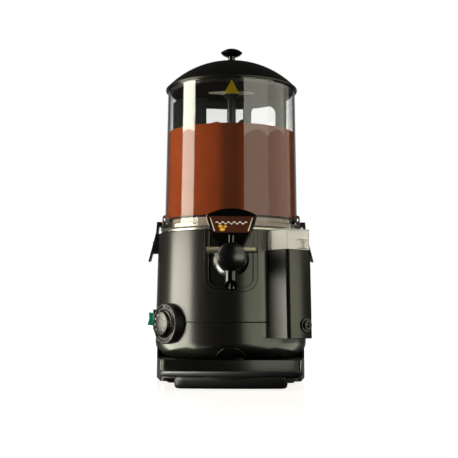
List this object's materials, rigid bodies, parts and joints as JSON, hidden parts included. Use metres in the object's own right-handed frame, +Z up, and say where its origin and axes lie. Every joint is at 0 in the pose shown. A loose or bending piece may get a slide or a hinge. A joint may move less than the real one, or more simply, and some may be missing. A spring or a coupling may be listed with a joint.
{
  "type": "hot chocolate dispenser",
  "caption": "Table-top hot chocolate dispenser: clear tank with stirrer and domed lid on a black body with lever tap, thermostat dial, rocker switch, water-level box and drip tray.",
  "frame": {"origin": "under the middle of the footprint, level with the undersides of the feet", "axes": "+Z up, -Y towards the tap and drip tray, +X to the right of someone who faces the tap"},
  "size_m": [0.2806, 0.409, 0.563],
  "materials": {
    "black_satin_plastic": "fine satin moulding grain",
    "black_gloss_plastic": "polished moulding",
    "clear_plastic": "clear moulded polycarbonate",
    "stainless_steel": "brushed",
    "spring_steel": "bright drawn wire",
    "rubber": "moulded",
    "silicone": "soft translucent",
    "stirrer_plastic": "moulded food-grade plastic",
    "green_plastic": "translucent lit rocker",
    "label_brown": "printed plate under gloss varnish",
    "marker_yellow": "plain vinyl sticker",
    "motor_metal": "grey enamel",
    "zinc_steel": "zinc plated",
    "brass": "turned"
  },
  "bodies": {
    "machine": {"base_tub": "black_gloss_plastic", "rubber_feet": "rubber", "base_screws": "zinc_steel", "lower_body_shell": "black_satin_plastic", "upper_body_shell": "black_satin_plastic", "tap_panel": "black_satin_plastic", "level_box": "clear_plastic", "level_pipe": "stainless_steel", "drain_spigot": "black_satin_plastic", "dial_housing": "black_gloss_plastic", "dial_scale_ring": "black_gloss_plastic", "thermostat_body": "zinc_steel", "switch_bezel": "black_satin_plastic", "switch_pin": "zinc_steel", "clip_brackets": "black_satin_plastic", "clip_pins": "zinc_steel", "tank": "clear_plastic", "tank_marker": "marker_yellow", "vessel_gasket": "silicone", "product_vessel": "stainless_steel", "bath_vessel": "stainless_steel", "heating_element": "stainless_steel", "overheat_cutout": "zinc_steel", "centre_tube": "stainless_steel", "shaft_bushes": "brass", "motor_bracket": "zinc_steel", "gearbox": "motor_metal", "gearbox_screws": "zinc_steel", "motor_can": "motor_metal", "tap_body": "black_gloss_plastic", "tap_seal": "silicone", "tap_ring_nut": "black_gloss_plastic", "handle_pivot_pin": "stainless_steel", "handle_springs": "spring_steel", "rear_panel": "black_satin_plastic", "panel_screws": "zinc_steel", "cable_gland": "black_satin_plastic", "cable_gland_nut": "black_satin_plastic", "terminal_block": "silicone"},
    "lid": {"lid_dome": "black_satin_plastic", "lid_knob": "black_gloss_plastic", "lid_knob_screw": "zinc_steel"},
    "stirrer": {"drive_shaft": "stainless_steel", "shaft_coupling": "brass", "stirrer_hub": "stirrer_plastic", "stirrer_wing_nut": "clear_plastic", "stirrer_solid_wing": "stirrer_plastic", "stirrer_open_wing": "stirrer_plastic", "stirrer_foot": "stirrer_plastic"},
    "tap_lever": {"tap_handle": "black_gloss_plastic", "handle_plate": "label_brown"},
    "tap_valve": {"tap_piston": "stainless_steel"},
    "dial": {"thermostat_knob": "black_gloss_plastic", "thermostat_spindle": "zinc_steel"},
    "rocker": {"switch_rocker": "green_plastic"},
    "tray": {"drip_tray": "black_gloss_plastic"},
    "grille": {"drip_grille": "black_satin_plastic"},
    "water_drain_cap": {"drain_cap": "black_satin_plastic"},
    "right_clip": {"clip_lever_right": "black_satin_plastic"},
    "left_clip": {"clip_lever_left": "black_satin_plastic"}
  },
  "joints": [
    {"name": "lid_lift", "type": "slide", "parent": "machine", "child": "lid", "axis": [0, 0, 1], "range_m": [0, 0.12]},
    {"name": "stirrer_turn", "type": "hinge", "parent": "machine", "child": "stirrer", "pos_m": [0, 0.0305, 0.17], "axis": [0, 0, 1], "continuous": true},
    {"name": "tap_lever_pull", "type": "hinge", "parent": "machine", "child": "tap_lever", "pos_m": [0, -0.1345, 0.2036], "axis": [1, 0, 0], "range_deg": [0, 30], "stiffness_Nm_per_rad": 1.2, "springref_deg": -17.19},
    {"name": "tap_valve_open", "type": "slide", "parent": "machine", "child": "tap_valve", "axis": [0, 1, 0], "range_m": [0, 0.0079]},
    {"name": "dial_turn", "type": "hinge", "parent": "machine", "child": "dial", "pos_m": [-0.10569, -0.05509, 0.091], "axis": [-0.7771, -0.6293, 0], "range_deg": [-270, 0]},
    {"name": "rocker_tip", "type": "hinge", "parent": "machine", "child": "rocker", "pos_m": [-0.12539, 0.0525, 0.096], "axis": [0, 1, 0], "range_deg": [-14, 0]},
    {"name": "tray_slide", "type": "slide", "parent": "machine", "child": "tray", "axis": [0, -1, 0], "range_m": [0, 0.2]},
    {"name": "grille_lift", "type": "slide", "parent": "tray", "child": "grille", "axis": [0, 0, 1], "range_m": [0, 0.045]},
    {"name": "drain_cap_turn", "type": "hinge", "parent": "machine", "child": "water_drain_cap", "pos_m": [0.11441, -0.09823, 0.0903], "axis": [0.6225, -0.7826, 0], "range_deg": [0, 360]},
    {"name": "right_clip_press", "type": "hinge", "parent": "machine", "child": "right_clip", "pos_m": [0.1286, 0.0305, 0.225], "axis": [0, 1, 0], "range_deg": [0, 12], "stiffness_Nm_per_rad": 0.6, "springref_deg": -5.73},
    {"name": "left_clip_press", "type": "hinge", "parent": "machine", "child": "left_clip", "pos_m": [-0.1286, 0.0305, 0.225], "axis": [0, -1, 0], "range_deg": [0, 12], "stiffness_Nm_per_rad": 0.6, "springref_deg": -5.73}
  ],
  "couplings": [
    {"joint": "tap_valve_open", "follows": "tap_lever_pull", "m_per_rad": 0.0148}
  ]
}
